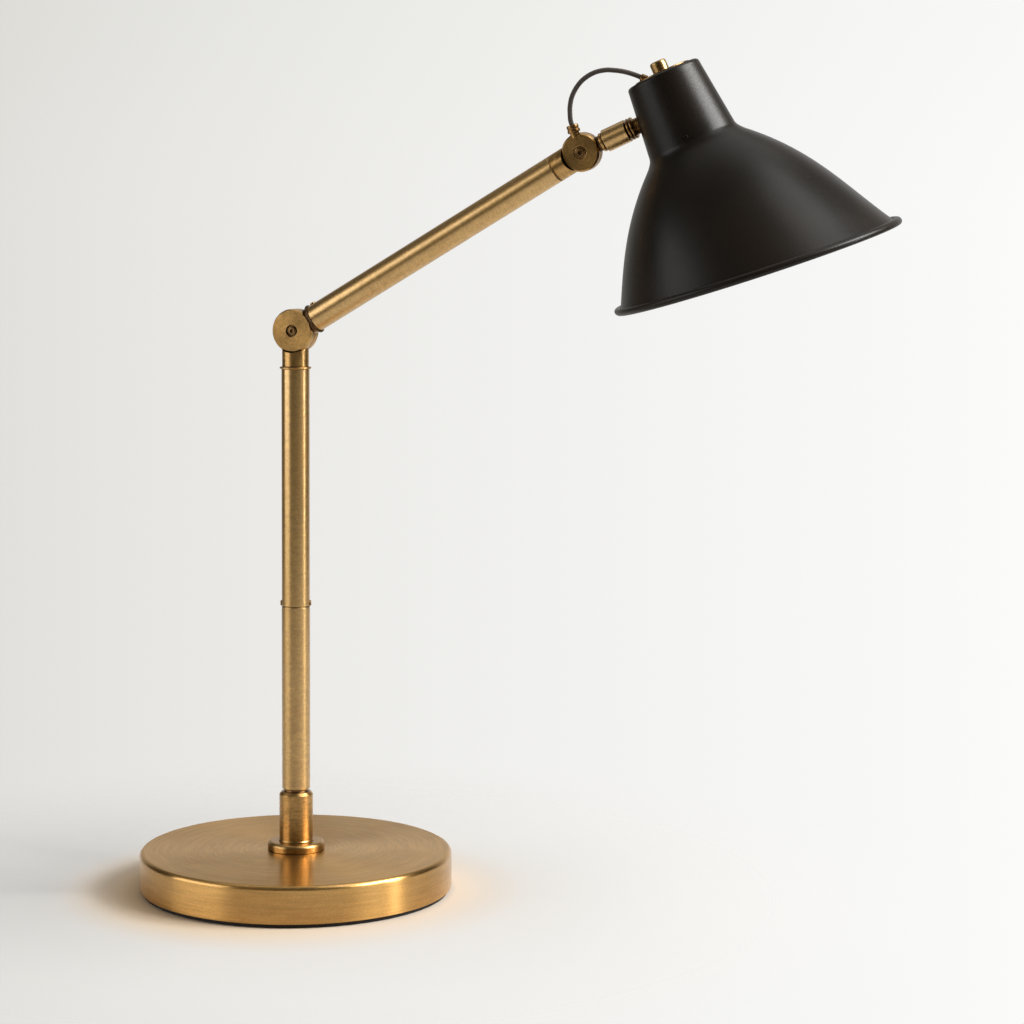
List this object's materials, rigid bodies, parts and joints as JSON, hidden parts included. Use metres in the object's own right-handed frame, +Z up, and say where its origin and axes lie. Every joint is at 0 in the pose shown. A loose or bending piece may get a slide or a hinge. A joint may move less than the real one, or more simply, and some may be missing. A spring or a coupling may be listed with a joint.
{
  "type": "swing arm desk lamp",
  "caption": "Desk lamp with a heavy round base, a turning post, a hinged arm and a tilting, swivelling bell shade with a rotary switch on top.",
  "frame": {"origin": "on the floor, on the post's axis, at the centre of the base pad's underside", "axes": "+Z up along the post, +X the way the arm and head reach from the post, so both hinge pins lie along Y at rest; the cable inlet faces +Y"},
  "size_m": [0.4324, 0.1822, 0.4726],
  "materials": {
    "brushed_brass": "warm antique brass, brushed and lacquered",
    "dark_brass": "darkened brass screws",
    "black_paint": "satin black powder coat with a fine texture",
    "black_screw": "blackened steel",
    "cast_iron": "rough cast weight, hidden",
    "zinc_steel": "zinc plated",
    "foot_rubber": "matte black",
    "nylon": "natural nylon",
    "fibre_washer": "dark brown fibre",
    "cord_fabric": "dark brown woven sleeve",
    "black_plastic": "moulded black",
    "bulb_cap_metal": "plain",
    "bulb_glass": "frosted opal"
  },
  "bodies": {
    "base": {"base_pad": "foot_rubber", "base_weight": "cast_iron", "base_cover": "brushed_brass", "base_flange": "brushed_brass", "base_collar": "brushed_brass", "base_washer": "zinc_steel", "base_nut": "zinc_steel", "cable_bush": "foot_rubber", "swivel_washer": "nylon"},
    "post": {"post_spigot": "brushed_brass", "spigot_clip": "zinc_steel", "lower_post_tube": "brushed_brass", "post_coupler": "brushed_brass", "coupler_screws": "dark_brass", "upper_post_tube": "brushed_brass", "neck_ring": "brushed_brass", "elbow_lower_knuckle": "brushed_brass", "elbow_washer": "fibre_washer", "elbow_bolt": "dark_brass", "elbow_nut": "dark_brass"},
    "arm": {"elbow_upper_knuckle": "brushed_brass", "arm_ring": "brushed_brass", "arm_grub_screw": "dark_brass", "arm_tube": "brushed_brass", "swivel_bush": "nylon"},
    "wrist": {"wrist_arm_knuckle": "brushed_brass", "swivel_clip": "zinc_steel", "cord_gland": "brushed_brass", "gland_nut": "brushed_brass", "wrist_washer": "fibre_washer", "wrist_bolt": "dark_brass", "wrist_nut": "dark_brass", "lamp_cord": "cord_fabric"},
    "head": {"wrist_head_knuckle": "brushed_brass", "stem_collar": "brushed_brass", "stem_sleeve": "brushed_brass", "stem_lock_rings": "brushed_brass", "stem_stud": "dark_brass", "stem_nut": "zinc_steel", "shade": "black_paint", "rim_bead": "black_paint", "cup_cap": "brushed_brass", "cord_ferrule": "brushed_brass", "shade_screw": "black_screw", "switch_body": "black_plastic", "lampholder": "black_plastic", "bulb_cap": "bulb_cap_metal", "bulb_glass": "bulb_glass"},
    "knob": {"switch_knob": "brushed_brass", "knob_spindle": "zinc_steel"}
  },
  "joints": [
    {"name": "post_swivel", "type": "hinge", "parent": "base", "child": "post", "pos_m": [0, 0, 0.0475], "axis": [0, 0, 1], "range_deg": [-170, 170]},
    {"name": "elbow_hinge", "type": "hinge", "parent": "post", "child": "arm", "pos_m": [0, 0, 0.323], "axis": [0, -1, 0], "range_deg": [-45, 60]},
    {"name": "head_swivel", "type": "hinge", "parent": "arm", "child": "wrist", "pos_m": [0.17009, 0, 0.42319], "axis": [0.8616, 0, 0.5075], "range_deg": [-90, 90]},
    {"name": "wrist_hinge", "type": "hinge", "parent": "wrist", "child": "head", "pos_m": [0.17009, 0, 0.42319], "axis": [0.0583, -0.9934, -0.099], "range_deg": [-45, 35], "deforming": ["lamp_cord"]},
    {"name": "switch_turn", "type": "hinge", "parent": "head", "child": "knob", "pos_m": [0.21514, -0.00148, 0.46461], "axis": [-0.4034, -0.1142, 0.9079], "range_deg": [0, 90]}
  ]
}
